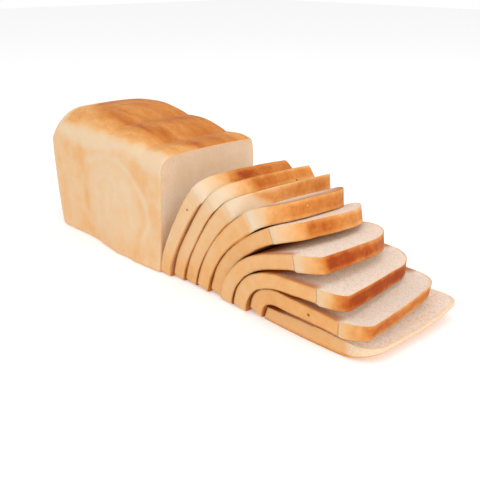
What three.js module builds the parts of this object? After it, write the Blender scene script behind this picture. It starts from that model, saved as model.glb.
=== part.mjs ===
// A white tin loaf, part sliced. One half is still an uncut block; the other half is slices that
// stand side by side on the floor, bend over away from the block and lie like a fan on the heel.
// Millimetres. X runs along the loaf from the block to the heel, Y across it, Z up.
// While it is being built the cut face of the block is the plane X = 0 and the floor is Z = 0.
import * as THREE from 'three';

// ---- Driving dimensions ----
const WIDTH = 115;              // across the tin
const HALF_WIDTH = WIDTH / 2;
const RIM = 95;                 // side crust, up to where the dough rose out of the tin
const BASE_ROUND = 2.5;         // edge between the side crust and the base crust
const SIDE_BULGE = 1.2;         // how far a side swells between base and rim
const CROWN_DOME = 1;           // how much the middle of the crown stands over its shoulders

const BLOCK_LENGTH = 187;
const END_TAPER = 9;            // the tin's end wall leans outwards by this much up to the rim
const END_ROUND = 13;           // the crown's rounding down to the end wall

// Each piece of dough in the tin rose to a lobe: its middle, its rise over the rim, and how it
// falls away behind and in front, in mm per square mm.
const LOBES = [
  { middle: -135, rise: 34.9, fallBehind: 0.0019, fallAhead: 0.0042 },
  { middle: -72, rise: 26.8, fallBehind: 0.003, fallAhead: 0.007 },
  { middle: -14, rise: 17.9, fallBehind: 0.0045, fallAhead: 0.015 },
];
const CREASE_BEHIND = -91;      // where the first and second lobes meet
const CREASE_AHEAD = -34;       // where the second and third lobes meet

// The shoulders of the block's crown widen as the crown rises.
const SHOULDER_AT = 14;
const NEAR_SHOULDER = { width: 17, growth: 0.85 };
const FAR_SHOULDER = { width: 5, growth: 0.5 };

// An oval swell in the near side, where the rolled dough pressed on the tin.
const SWELL = { x: -78, z: 43, halfLength: 51, halfHeight: 51, depth: 1.8 };

// The near side's foot, which spread before the crust set: most at x, none above the height.
const SPREAD = { x: -38, halfLength: 84, height: 62, depth: 7.4 };

// ---- Slices ----
const FOOT_THICKNESS = 13.4;    // at the base crust
const THINNING = 95;            // height over which a slice goes over to its thickness at the crown
const FAR_DROP = 0.6;           // how far a wide far shoulder reaches down the side, per mm over
const FAR_DROP_FROM = 16;       // this width
const ROW_CROWDING = 1.35;      // rows lie closer at the foot, where a slice bends most

// Heights up a slice, along its middle, at which its lean is stated.
const LEAN_AT = [0, 10, 24, 42, 68, 92, 114];
const DROOP = { from: 30, to: 110 };    // heights between which a slice's far side droops

// foot: middle of the foot, ahead of the block's cut face. shift: sideways, to the far side.
// lean: degrees from upright at LEAN_AT. droop: how many more the far end of the crown leans.
// rim, crown: height of the side, and of the crown over it. tilt: how much higher the crown is on
// the far side. slant: how much the crown rises from the slice's middle to its ahead face.
// near, far: widths of the shoulders. thick: thickness at the crown. spread: how far the foot stands
// out of the near side.
const SLICES = [
  {
    foot: 7.2, shift: -1.4, lean: [4, 12, 23, 29, 31, 38, 41], droop: 4,
    rim: 94.9, crown: 16.8, tilt: -2.5, slant: 1.1, near: 18.9, far: 14.7, thick: 14.9, spread: 2.6,
  },
  {
    foot: 22.6, shift: 1.2, lean: [6, 15, 26, 30, 32, 41, 53], droop: 4,
    rim: 90.8, crown: 20.5, tilt: -0.8, slant: 0.2, near: 16.7, far: 5, thick: 12.5, spread: 1.8,
  },
  {
    foot: 38.5, shift: 2.3, lean: [8, 16, 25, 31, 36, 50, 70], droop: 4,
    rim: 92.1, crown: 17.4, tilt: 0.1, slant: -1.9, near: 14.6, far: 3.8, thick: 14.4, spread: 1.8,
  },
  {
    foot: 55.2, shift: 1.5, lean: [12, 17, 25, 34, 45, 53, 72], droop: 6.6,
    rim: 96.7, crown: 38.9, tilt: -1, slant: -1.3, near: 27.2, far: 63.2, thick: 14.4, spread: 1.8,
  },
  {
    foot: 70.9, shift: 3, lean: [11, 18, 28, 40, 54, 61, 77], droop: 9,
    rim: 98.3, crown: 28.2, tilt: 4.4, slant: 0.6, near: 24.2, far: 62.6, thick: 13.2, spread: 1,
  },
  {
    foot: 87.4, shift: -1.4, lean: [2, 16, 34, 47, 70, 75, 81], droop: 6.6,
    rim: 103, crown: 27.2, tilt: 1, slant: 0.4, near: 7.5, far: 60.2, thick: 12.2, spread: 0,
  },
  {
    foot: 104.6, shift: -3.5, lean: [5, 19, 38, 64, 88, 87, 87], droop: 4,
    rim: 103, crown: 23, tilt: -7, slant: -0.2, near: 7.2, far: 43.6, thick: 11.5, spread: -1.5,
  },
  {
    foot: 121, shift: -3.3, lean: [16, 21, 61, 92, 92, 94, 79], droop: -4.2,
    rim: 100.2, crown: 22.3, tilt: -6.9, slant: -2.8, near: 8.1, far: 35.3, thick: 11.4, spread: -4,
  },
];

// The heel lies flat, crust down. Its crown end thins as the crust rounds up off the floor, and
// its far corner lifts.
const HEEL = { foot: 128.6, shift: 2, thickness: 10.9, rim: 88, crown: 20.5, near: 20, far: 7 };
const HEEL_SLANT = 3.2;         // of its base crust, from the floor to the cut face
const HEEL_SWELL = 3;           // how much thicker it is at the middle of its length
const HEEL_ROUND = { from: 71, rise: 8 };
const HEEL_LIFT = { from: 20, rise: 8 };

// ---- Fineness ----
const ACROSS = 12;              // columns across a slice, a quarter of them round each shoulder
const UP = 20;                  // rows up a slice
const BLOCK_ACROSS = 16;
const BLOCK_UP = 10;
const HEEL_ALONG = 14;

const CRUST_COLOUR = 0xe7bd8c;
const SIDE_CRUST_COLOUR = 0xeab983;
const CRUMB_COLOUR = 0xe0c6a8;

const { lerp, clamp, degToRad, smoothstep } = THREE.MathUtils;

// ---- The loaf's form ----

// The crown's outline, from the near side (b = -1) over the top to the far side (b = 1). A quarter
// of the way in from each side is a rounded shoulder. Returns y, and the height from the base.
function crownOutline(b, form) {
  const rise = (side) => form.crown + side * form.tilt / 2 - CROWN_DOME;
  if (Math.abs(b) <= 0.5) {
    const u = b / 0.5;
    const y = lerp(-HALF_WIDTH + form.near, HALF_WIDTH - form.far, (u + 1) / 2);
    return { y, top: form.rim + form.crown + u * form.tilt / 2 - CROWN_DOME * u * u };
  }
  const angle = (1 - Math.abs(b)) * Math.PI;
  const [round, swing] = [1 - Math.cos(angle), Math.sin(angle)];
  if (b < 0) return { y: -HALF_WIDTH + form.near * round, top: form.rim + rise(-1) * swing };
  const depth = rise(1) + FAR_DROP * Math.max(form.far - FAR_DROP_FROM, 0);
  return { y: HALF_WIDTH - form.far * round, top: form.rim + rise(1) - depth * (1 - swing) };
}

// A point of the cross section: column b, and c from the base to the crown.
function sectionPoint(b, c, form) {
  const { y, top } = crownOutline(b, form);
  const height = top * c;
  const swell = 1 + SIDE_BULGE / HALF_WIDTH * Math.sin(Math.PI * clamp(height / RIM, 0, 1));
  const edge = c === 0 ? 1 - BASE_ROUND / HALF_WIDTH : 1;
  return { y: y * swell * edge, height };
}

// 0 on the near side and 1 on the far side.
function acrossShare(y) {
  return clamp((y + HALF_WIDTH) / WIDTH, 0, 1);
}

// Moves every corner of a box of two units a side to the place that the form gives it.
function shapedBox(segments, place) {
  const geometry = new THREE.BoxGeometry(2, 2, 2, ...segments);
  const corners = geometry.attributes.position;
  for (let i = 0; i < corners.count; i += 1) {
    corners.setXYZ(i, ...place(corners.getX(i), corners.getY(i), (corners.getZ(i) + 1) / 2));
  }
  geometry.computeVertexNormals();
  return geometry;
}

// ---- The uncut block ----

// Rise of the crown over the rim: the highest lobe wins, which leaves a crease between two lobes.
function lobeRise(x) {
  return Math.max(...LOBES.map((lobe) => {
    const fall = x < lobe.middle ? lobe.fallBehind : lobe.fallAhead;
    return lobe.rise - fall * (x - lobe.middle) ** 2;
  }));
}

function blockForm(x) {
  const open = clamp((x + BLOCK_LENGTH) / END_ROUND, 0, 1);
  const crown = lobeRise(x) * Math.sqrt(1 - (1 - open) ** 2);
  const grown = Math.max(crown - SHOULDER_AT, 0);
  return {
    rim: RIM,
    crown: Math.max(crown, CROWN_DOME),
    tilt: 0,
    near: NEAR_SHOULDER.width + NEAR_SHOULDER.growth * grown,
    far: FAR_SHOULDER.width + FAR_SHOULDER.growth * grown,
  };
}

// Cross sections of the block: close together round its end, then even steps along each lobe.
function blockStations() {
  const steps = (from, to, count) => (
    Array.from({ length: count }, (_, i) => lerp(from, to, i / count))
  );
  const rounded = steps(0, Math.PI / 2, 5).map((angle) => (
    -BLOCK_LENGTH + END_ROUND * (1 - Math.cos(angle))
  ));
  return [
    ...rounded,
    ...steps(-BLOCK_LENGTH + END_ROUND, CREASE_BEHIND, 9),
    ...steps(CREASE_BEHIND, CREASE_AHEAD, 7),
    ...steps(CREASE_AHEAD, 0, 4),
    0,
  ];
}

// How far the near side stands out.
function nearSwell(x, z) {
  const off = ((x - SWELL.x) / SWELL.halfLength) ** 2 + ((z - SWELL.z) / SWELL.halfHeight) ** 2;
  const along = Math.max(1 - ((x - SPREAD.x) / SPREAD.halfLength) ** 2, 0);
  return SWELL.depth * Math.max(1 - off, 0) + SPREAD.depth * along * footShare(z);
}

// 1 at the foot of a side and 0 above the height that spread.
function footShare(height) {
  return Math.max(1 - height / SPREAD.height, 0) ** 2;
}

function blockGeometry() {
  const stations = blockStations();
  const last = stations.length - 1;
  return shapedBox([last, BLOCK_ACROSS, BLOCK_UP], (a, b, c) => {
    const station = stations[Math.round((a + 1) / 2 * last)];
    const { y, height } = sectionPoint(b, c, blockForm(station));
    const taper = END_TAPER * clamp(1 - height / RIM, 0, 1) * -station / BLOCK_LENGTH;
    const swell = b === -1 ? nearSwell(station, height) : 0;
    return [station + taper, y - swell, height];
  });
}

// ---- Slices ----

// The middle line of a bent slice: how far ahead of its foot and how high it is, and its lean in
// radians, at each height measured along the slice. The droop is in degrees.
function middleLine(lean) {
  const step = 0.5;
  const leanAt = (height) => {
    let i = 0;
    while (i < LEAN_AT.length - 2 && height > LEAN_AT[i + 1]) i += 1;
    const t = clamp((height - LEAN_AT[i]) / (LEAN_AT[i + 1] - LEAN_AT[i]), 0, 1);
    return degToRad(lerp(lean[i], lean[i + 1], t));
  };
  return (height, droop) => {
    const angleAt = (at) => leanAt(at) + degToRad(droop) * smoothstep(at, DROOP.from, DROOP.to);
    let ahead = 0;
    let up = FOOT_THICKNESS / 2 * Math.sin(leanAt(0));
    const count = Math.ceil(height / step);
    for (let i = 0; i < count; i += 1) {
      const angle = angleAt((i + 0.5) * height / count);
      ahead += Math.sin(angle) * height / count;
      up += Math.cos(angle) * height / count;
    }
    return { ahead, up, angle: angleAt(height) };
  };
}

function sliceGeometry(form) {
  const middle = middleLine(form.lean);
  return shapedBox([1, ACROSS, UP], (a, b, c) => {
    const cut = { ...form, crown: form.crown + a * form.slant };
    const { y, height } = sectionPoint(b, c ** ROW_CROWDING, cut);
    const { ahead, up, angle } = middle(height, form.droop * acrossShare(y) ** 2);
    const half = lerp(FOOT_THICKNESS, form.thick, smoothstep(height, 0, THINNING)) / 2;
    const spread = form.spread * footShare(height) * (1 - acrossShare(y));
    return [ahead + a * half * Math.cos(angle), y - spread, up - a * half * Math.sin(angle)];
  });
}

// The heel is a slice laid on its end crust, so its section lies in the floor's plane.
function heelGeometry(heel) {
  const form = { ...heel, tilt: 0 };
  const length = heel.rim + heel.crown;
  return shapedBox([1, ACROSS, HEEL_ALONG], (a, b, c) => {
    const { y, height } = sectionPoint(b, c, form);
    const along = (from) => Math.max(height - from, 0) / (length - from);
    const lift = HEEL_LIFT.rise * along(HEEL_LIFT.from) ** 2 * acrossShare(y) ** 5;
    if (a > 0) return [height, y, lift + HEEL_ROUND.rise * along(HEEL_ROUND.from) ** 2];
    const swell = HEEL_SWELL * Math.sin(Math.PI * height / length);
    return [height + HEEL_SLANT * (1 - c), y, lift + heel.thickness + swell];
  });
}

// ---- Assembly ----

function piece(name, geometry, colour) {
  const material = new THREE.MeshStandardMaterial({ color: colour, roughness: 0.85, metalness: 0 });
  const mesh = new THREE.Mesh(geometry, material);
  mesh.name = name;
  return mesh;
}

const loaf = new THREE.Group();
loaf.add(piece('uncut_block', blockGeometry(), CRUST_COLOUR));
SLICES.forEach((form, i) => {
  const slice = piece(`slice_${i + 1}`, sliceGeometry(form), SIDE_CRUST_COLOUR);
  slice.position.set(form.foot, form.shift, 0);
  loaf.add(slice);
});
const heel = piece('heel', heelGeometry(HEEL), CRUMB_COLOUR);
heel.position.set(HEEL.foot, HEEL.shift, 0);
loaf.add(heel);

// The origin goes to the middle of the whole, on the floor.
const whole = new THREE.Box3().setFromObject(loaf);
const centre = whole.getCenter(new THREE.Vector3());
loaf.position.set(-centre.x, -centre.y, -whole.min.z);

export default loaf;
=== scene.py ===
"""A part-sliced white tin loaf in a pale studio: block, leaning slices and heel, in crust and crumb."""
import math
import bmesh
import bpy
import numpy as np
from mathutils import Matrix, Vector, noise


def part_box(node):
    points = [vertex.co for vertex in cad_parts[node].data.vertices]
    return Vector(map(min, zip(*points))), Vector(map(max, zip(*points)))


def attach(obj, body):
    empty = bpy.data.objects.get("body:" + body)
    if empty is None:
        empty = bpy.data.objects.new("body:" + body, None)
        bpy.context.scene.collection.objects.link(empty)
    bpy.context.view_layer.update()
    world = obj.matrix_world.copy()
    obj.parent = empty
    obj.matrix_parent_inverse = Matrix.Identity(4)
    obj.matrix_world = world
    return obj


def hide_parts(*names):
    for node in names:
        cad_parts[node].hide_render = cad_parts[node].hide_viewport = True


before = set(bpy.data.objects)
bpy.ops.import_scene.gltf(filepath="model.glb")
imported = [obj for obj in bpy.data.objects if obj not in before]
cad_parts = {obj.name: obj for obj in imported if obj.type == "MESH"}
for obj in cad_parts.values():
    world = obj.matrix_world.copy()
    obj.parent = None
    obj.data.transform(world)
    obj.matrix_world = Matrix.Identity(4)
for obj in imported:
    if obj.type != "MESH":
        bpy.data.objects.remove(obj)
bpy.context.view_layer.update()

# Sizes are in millimetres unless they say otherwise. The loaf is formed with the cut face of the
# block at X = 0, the near side at negative Y and the floor at Z = 0. A run is a way over the crust
# from a rim, above 0 over the crown and below 0 down the side. A bake is how dark the crust is. A
# fade is two places, between which one look goes over into the next.
MM = 0.001

# ---- The loaf's form ----
WIDTH = 115
HALF_WIDTH = WIDTH / 2
RIM = 95                        # where the dough rose out of the tin
BASE_ROUND = 2.5                # radius of the long edges at its foot
SIDE_BULGE = 1.2                # how far each side stands out halfway up
CROWN_DOME = 1                  # how much lower the flat of the crown is at its two shoulders
FLAT = 0.5                      # share of the columns across the loaf that this flat takes
BLOCK_LENGTH = 187
END_TAPER = 9                   # how much shorter the block is at its foot
END_ROUND = 13                  # length over which the crown rounds down at the back
# The crown's lobes: where each is highest, its rise over the rim, and how fast it falls off.
LOBES = (
    {"middle": -135, "rise": 34.9, "fall_behind": 0.0019, "fall_ahead": 0.0042},
    {"middle": -72, "rise": 26.8, "fall_behind": 0.003, "fall_ahead": 0.007},
    {"middle": -14, "rise": 17.9, "fall_behind": 0.0045, "fall_ahead": 0.015},
)
SHOULDER_AT = 14                # the rise of crown from which the shoulders grow with it
NEAR_SHOULDER = {"width": 17, "growth": 0.85}
FAR_SHOULDER = {"width": 5, "growth": 0.5}
# The near side: the oval where the rolled dough pressed out, and the foot, which spread.
SWELL = {"x": -78, "z": 43, "half_length": 51, "half_height": 51, "depth": 1.8}
SPREAD = {"x": -38, "half_length": 84, "height": 62, "depth": 7.4}
FOOT_THICKNESS = 13.4           # of every slice
THINNING = 95                   # the height from which a slice has its own thickness
FAR_DROP_FROM = 16              # a far shoulder wider than this also begins lower down the side
FAR_DROP = 0.6                  # how much lower, as a share of what it is wider
LEAN_AT = (0, 10, 24, 42, 68, 92, 114)
DROOP_FADE = (30, 110)

# Each slice, first its place: where its foot stands, how far it lies to the far side and how far the
# foot of its near side spread, then its lean in degrees at the heights LEAN_AT and how many more its
# far end droops. Then its outline: rim, rise of the crown, how much higher the crown is at the far
# side and on the ahead face, the two shoulders, and how thick it is above its foot. Then how it baked:
# its side and how much darker its foot, over how much run the rim blends, the bake at the rim, where
# the cream band ends and the brown begins, over how much the brown blends in and how much later it
# begins on the ahead face, and the brown's tone at first and at the far side. Last the fold at the
# rim, which also sets how dark the painted shade in its crease is, how far the cut edge flares out
# over the rim, and the heights between which its joints are open. A lip is how far the near shoulder
# stands out ahead, and the key after it how far in painted shade tints the face towards the block,
# standing in for the shade in the gap there. What isn't given is 0.
SLICES = (
    {"foot": 7.2, "shift": -1.4, "spread": 2.6, "lean": (4, 12, 23, 29, 31, 38, 41), "droop": 4,
     "rim": 94.9, "crown": 16.8, "tilt": -2.5, "slant": 1.1, "near": 18.9, "far": 14.7, "thick": 14.9,
     "side": 0.31, "foot_bake": 0.1, "soft": 9, "pale": 0.05, "cream": 14, "brown": 44, "blend": 14,
     "tone": 0.93, "far_tone": 0.79, "fold": 0.05, "flare": 0.8, "open": (0, 92)},
    {"foot": 22.6, "shift": 1.2, "spread": 1.8, "lean": (6, 15, 26, 30, 32, 41, 53), "droop": 4,
     "rim": 90.8, "crown": 20.5, "tilt": -0.8, "slant": 0.2, "near": 16.7, "far": 5, "thick": 12.5,
     "side": 0.31, "foot_bake": 0.11, "soft": 9, "pale": 0.06, "cream": 18, "brown": 49, "blend": 14,
     "tone": 0.85, "far_tone": 0.67, "fold": 0.05, "flare": 0.45, "open": (10, 90)},
    {"foot": 38.5, "shift": 2.3, "spread": 1.8, "lean": (8, 16, 25, 31, 36, 50, 70), "droop": 4,
     "rim": 92.1, "crown": 17.4, "tilt": 0.1, "slant": -1.9, "near": 14.6, "far": 3.8, "thick": 14.4,
     "side": 0.34, "foot_bake": 0.1, "soft": 8, "pale": 0.06, "cream": 28, "brown": 42, "blend": 6,
     "later": 12, "tone": 0.53, "far_tone": 0.67, "fold": 0.05, "open": (20, 200),
     "lip": 1},
    {"foot": 55.2, "shift": 1.5, "spread": 1.8, "lean": (12, 17, 25, 34, 45, 53, 72), "droop": 6.6,
     "rim": 96.7, "crown": 38.9, "tilt": -1, "slant": -1.3, "near": 27.2, "far": 63.2, "thick": 14.4,
     "side": 0.39, "foot_bake": 0.03, "soft": 5, "pale": 0.02, "cream": 6, "brown": 33, "blend": 16,
     "tone": 0.69, "far_tone": 0.73, "fold": 0.1, "open": (50, 200),
     "lip": 2.4, "gap_shade": 36},
    {"foot": 70.9, "shift": 3, "spread": 1, "lean": (11, 18, 28, 40, 54, 61, 77), "droop": 9,
     "rim": 98.3, "crown": 28.2, "tilt": 4.4, "slant": 0.6, "near": 24.2, "far": 62.6, "thick": 13.2,
     "side": 0.4, "foot_bake": 0.01, "soft": 1, "pale": 0.11, "cream": 3, "brown": 30, "blend": 6,
     "tone": 0.85, "far_tone": 0.66, "fold": 0.5, "flare": 0.3, "open": (60, 200)},
    {"foot": 87.4, "shift": -1.4, "spread": 0, "lean": (2, 16, 34, 47, 70, 75, 81), "droop": 6.6,
     "rim": 103, "crown": 27.2, "tilt": 1, "slant": 0.4, "near": 7.5, "far": 60.2, "thick": 12.2,
     "side": 0.4, "foot_bake": -0.03, "soft": 1, "pale": 0.1, "cream": 2, "brown": 27, "blend": 10,
     "tone": 1.02, "far_tone": 0.89, "fold": 0.6, "flare": 0.8, "open": (68, 200)},
    {"foot": 104.6, "shift": -3.5, "spread": -1.5, "lean": (5, 19, 38, 64, 88, 87, 87), "droop": 4,
     "rim": 103, "crown": 23, "tilt": -7, "slant": -0.2, "near": 7.2, "far": 43.6, "thick": 11.5,
     "side": 0.41, "foot_bake": -0.04, "soft": 1, "pale": 0.1, "cream": 2, "brown": 21, "blend": 12,
     "tone": 1.01, "far_tone": 1.01, "fold": 0.6, "flare": 0.8, "open": (58, 200)},
    {"foot": 121, "shift": -3.3, "spread": -4, "lean": (16, 21, 61, 92, 92, 94, 79), "droop": -4.2,
     "rim": 100.2, "crown": 22.3, "tilt": -6.9, "slant": -2.8, "near": 8.1, "far": 35.3, "thick": 11.4,
     "side": 0.46, "foot_bake": -0.05, "soft": 1, "pale": 0.28, "cream": 4, "brown": 24, "blend": 16,
     "tone": 0.9, "far_tone": 0.81, "fold": 0.6, "flare": 0.4, "open": (54, 200)},
)
# The heel's outline and how it baked, in the words of a slice's.
HEEL = {"foot": 128.6, "shift": 2, "thickness": 10.9, "rim": 88, "crown": 20.5, "tilt": 0, "near": 20,
        "far": 7, "side": 0.4, "foot_bake": 0, "soft": 6, "pale": 0.28, "cream": 110, "brown": 200,
        "blend": 10, "tone": 0.33, "far_tone": 0.33}
HEEL_SLANT = 3.2                # how much further ahead its upper face begins than its underside
HEEL_SWELL = 3                  # how much thicker it is halfway along
HEEL_ROUND = {"from": 71, "rise": 8}     # its underside, which rounds up to the far end
HEEL_LIFT = {"from": 20, "rise": 8}      # its far corner, which lifts off the floor
HEEL_LIFT_POWER = 5             # how close to the far side that lift stays

# ---- Fineness: cells along, across and up each piece ----
BLOCK_CELLS = (150, 96, 72)
SLICE_CELLS = (10, 88, 84)
END_CROWDING = 0.06             # how much the block's cells crowd together at its back end
EVEN_AT = -60.0                 # the place along the block where its columns are spaced evenly
EDGE_SOFTNESS = 0.02            # how far a cut edge is rounded back
CLOSED_SWELL = 0.13             # how far it swells out instead where the joint is closed
OUTSIDE = 0.9999                # a corner of the box further out than this is on its outside
SKIN = 0.01                     # a place less deep than this is on the crust

# ---- Where the form stands in the row's frame ----
heel_low, heel_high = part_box("heel")
CUT_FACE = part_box("uncut_block")[1].x
SIDEWAYS = (heel_low.y + heel_high.y) / 2 - HEEL["shift"] * MM


def lerp(start, end, share):
    return start + (end - start) * share


def smooth(value, low, high):
    """0 below low, 1 above high, and an even curve between."""
    share = np.clip((value - low) / (high - low), 0, 1)
    return share * share * (3 - 2 * share)


def falling(value, low, high):
    """1 below low, 0 above high, and an even curve between."""
    return smooth(-value, -high, -low)


def bell(value, middle, width):
    """1 at the middle, and an even fall to nothing on both sides of it."""
    return np.exp(-((value - middle) / width) ** 2)


def along(x, line):
    """The height at x of a line through points."""
    return np.interp(x, *np.array(line, float).T)


SEED_STEP = 17.3                # how far apart the patterns are taken from the same noise


def blotch(points, size, seed):
    """Even noise from -1 to 1, whose patches are about as large as size, one number or three."""
    scaled = points / np.asarray(size) + seed * SEED_STEP
    return np.array([noise.noise(p) for p in scaled.tolist()])


def blotches_of(points, layers):
    """Layers of noise, each given by its height, the size of its patches and its seed."""
    return sum(height * blotch(points, size, seed) for height, size, seed in layers)


# ---- Cross section ----
def crown_outline(b, form):
    """Y and height of the crown, from b = -1 on the near side to b = 1 on the far side."""
    half_tilt = form["tilt"] / 2
    u = b / FLAT
    flat = lerp(-HALF_WIDTH + form["near"], HALF_WIDTH - form["far"], (u + 1) / 2)
    flat_top = form["rim"] + form["crown"] + u * half_tilt - CROWN_DOME * u * u
    angle = (1 - np.abs(b)) / (1 - FLAT) * math.pi / 2
    curve, swing = 1 - np.cos(angle), np.sin(angle)
    near_rise = form["crown"] - half_tilt - CROWN_DOME
    far_rise = form["crown"] + half_tilt - CROWN_DOME
    far_depth = far_rise + FAR_DROP * np.maximum(form["far"] - FAR_DROP_FROM, 0)
    near = (-HALF_WIDTH + form["near"] * curve, form["rim"] + near_rise * swing)
    far = (HALF_WIDTH - form["far"] * curve, form["rim"] + far_rise - far_depth * (1 - swing))
    inner = np.abs(b) <= FLAT
    y = np.where(inner, flat, np.where(b < 0, near[0], far[0]))
    top = np.where(inner, flat_top, np.where(b < 0, near[1], far[1]))
    return y, top


def run_over_crown(b, form, steps=40):
    """The way over the crown's crust from the near rim to column b."""
    run = np.zeros_like(b)
    y, top = crown_outline(np.full_like(b, -1), form)
    for i in range(1, steps + 1):
        next_y, next_top = crown_outline(lerp(-1, b, i / steps), form)
        run += np.hypot(next_y - y, next_top - top)
        y, top = next_y, next_top
    return run


def even_columns(b, form, count=401):
    """Spreads evenly spaced columns evenly over the crown's outline."""
    fine = np.linspace(-1, 1, count)
    run = run_over_crown(fine, form)
    return np.interp((b + 1) / 2 * run[-1], run, fine)


def crown_slope(b, form, step=0.004):
    """How steep the crown's outline is at column b."""
    ahead_y, ahead_top = crown_outline(np.minimum(b + step, 1), form)
    behind_y, behind_top = crown_outline(np.maximum(b - step, -1), form)
    return np.abs(ahead_top - behind_top) / np.maximum(np.abs(ahead_y - behind_y), 1e-6)


def section(b, c, form):
    """Points of the cross section, how deep each lies under the crust, and the runs of its nearest
    crust from the near rim and from the far rim."""
    y, top = crown_outline(b, form)
    height = top * c
    under_crown = (top - height) / np.sqrt(1 + crown_slope(b, form) ** 2)
    # The four crusts are in this order: near side, far side, base and crown.
    to_crust = np.stack([HALF_WIDTH + y, HALF_WIDTH - y, height, under_crown])
    nearest = to_crust.argmin(0)
    far_rim = crown_outline(np.ones_like(b), form)[1]
    over = run_over_crown(b, form)
    whole = run_over_crown(np.ones_like(b), form)
    near_run = np.choose(nearest, [height - form["rim"], whole + far_rim - height, -RIM, over])
    far_run = np.choose(nearest, [whole + form["rim"] - height, height - far_rim, -RIM,
                                  whole - over])
    swell = 1 + SIDE_BULGE / HALF_WIDTH * np.sin(math.pi * np.clip(height / RIM, 0, 1))
    under = np.clip(1 - height / BASE_ROUND, 0, 1)
    tuck = 1 - BASE_ROUND / HALF_WIDTH * (1 - np.sqrt(1 - under ** 2))
    crown_is_nearest = nearest == len(to_crust) - 1
    return {"y": y * swell * np.where(crown_is_nearest, 1, tuck), "height": height,
            "depth": to_crust.min(0), "near_run": near_run, "far_run": far_run}


def across_share(y):
    """0 at the near side and 1 at the far side."""
    return np.clip((y + HALF_WIDTH) / WIDTH, 0, 1)


def foot_share(height):
    """1 at the foot of a side and 0 above the height that spread."""
    return np.maximum(1 - height / SPREAD["height"], 0) ** 2


# ---- Meshes ----
def cut_box(cells):
    """A box of two units a side, each of its edges cut evenly."""
    shape = bmesh.new()
    bmesh.ops.create_cube(shape, size=2)
    for axis, count in enumerate(cells):
        edges = [e for e in shape.edges if abs(e.verts[0].co[axis] - e.verts[1].co[axis]) > 1]
        bmesh.ops.subdivide_edges(shape, edges=edges, cuts=count - 1, use_grid_fill=True)
    mesh = bpy.data.meshes.new("cut_box")
    shape.to_mesh(mesh)
    shape.free()
    return mesh


def corners_of(mesh):
    """The box's corners: a and b from -1 to 1, and c from 0 at its foot to 1 at its top."""
    flat = np.empty(len(mesh.vertices) * 3)
    mesh.vertices.foreach_get("co", flat)
    a, b, c = flat.reshape(-1, 3).round(5).T
    return a, b, (c + 1) / 2


def note(mesh, name, values):
    """Keeps a number, or a place of three, for each vertex, for the materials to read."""
    kind = "FLOAT_VECTOR" if values.ndim == 2 else "FLOAT"
    attribute = mesh.attributes.new(name, kind, "POINT")
    field = "vector" if values.ndim == 2 else "value"
    attribute.data.foreach_set(field, values.astype(np.float32).ravel())


def make_piece(name, mesh, points, relief, notes, material):
    """Moves the box's corners to their places, raises the relief along the normals and shades it."""
    mesh.name = name
    mesh.vertices.foreach_set("co", (points * MM).ravel())
    mesh.update()
    normals = np.empty(len(mesh.vertices) * 3)
    mesh.vertex_normals.foreach_get("vector", normals)
    raised = points + normals.reshape(-1, 3) * relief[:, None]
    raised[:, 2] = np.maximum(raised[:, 2], 0)
    placed = raised * MM + np.array([CUT_FACE, SIDEWAYS, 0])
    mesh.vertices.foreach_set("co", placed.ravel())
    mesh.polygons.foreach_set("use_smooth", [True] * len(mesh.polygons))
    for key, values in notes.items():
        note(mesh, key, values)
    mesh.materials.append(material)
    mesh.update()
    piece = bpy.data.objects.new(name + "_bread", mesh)
    bpy.context.scene.collection.objects.link(piece)
    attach(piece, "root")
    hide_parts(name)


# ---- How the loaf baked: 0 is cream, 0.3 the tan of the sides, 0.7 brown, 1 darkest ----
SIDE_BAKE = 0.3
RIM_BAKE = 0.15                 # at the rim of the block
GOLD_BAKE = 0.5
BROWN_BAKE = 0.7                # on the crown of the block
CREAM_GAIN = 0.08               # how much darker the cream band is where it ends
FAR_BAKE = ((0.6, 0.05), (6, 0.55), (15, 1))    # the darkest bake at each run from the far rim
FAR_RIM_FADE = (-1.2, 0.6)
FAR_TONE_RUN = 50               # run over which the brown comes to its tone at the far side
LATER_FADE = (8, 40)
FOOT_FADE = (6, 40)
BASE_LINE = 0.2                 # how much darker the crust is along its lowest edge
BASE_LINE_FADE = (0.4, 2.6)
JOINT_SHADE = 0.32               # painted shade: how much darker a side is along an open joint
JOINT_SHADE_FADE = (-8, 0)
CLOSED_SHARE = 0.3              # what a closed joint keeps of it
BACK_SHARE = 0.5                # what the edge towards the block keeps of it
CUT_EDGE = 0.2                  # how much paler the brown is along its two cut edges
CUT_EDGE_FADE = (0.35, 1)

# Layers of relief and of wandering edges, as blotches_of takes them.
CRUST_WAVES = ((0.35, 22, 1), (0.1, 7, 2))
CRUMB_WAVES = ((0.1, 3.2, 3), (0.16, 11, 4))
HEEL_WAVES = ((0.3, 20, 1),)
FOOT_WAVES = ((1.1, (15, 60, 60), 17),)
FOOT_WAVES_FADE = (0, 16)
CROWN_RIDGES = ((0.25, (26, 8, 26), 6),)
CROWN_RIDGES_FROM = 10          # the run over the rim from which the crown has them
SLICE_WANDER = ((2, 14, 7), (1, 5, 13))
SLICE_WANDER_FADE = (4, 14)
SOFT_WANDER = ((0.25, 9, 15),)  # for each millimetre over which the rim blends
BROWN_WANDER = ((3, 24, 5), (2, 8, 11))
RIM_WANDER = ((2.5, 12, 12),)
SIDE_CLOUDS = ((0.05, (13, 13, 17), 16),)
BROWN_CLOUDS = ((0.03, 14, 14),)

# The fold where the dough rose over the rim: heights, runs and half widths of its ridge and grooves.
FOLD_PROFILE = ((0.5, 4.5, 3), (-0.2, -5, 4), (-1, 0, 1.3))
FOLD_RELIEF = 0.3               # how much of that profile a piece with a fold of 0 has
FOLD_GAIN = 0.5                 # how much more a fold of 1 adds
BLOCK_FOLD = -0.35              # the block's fold, fainter than any slice's
NO_FOLD = 50                    # a run at which no fold shows


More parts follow.
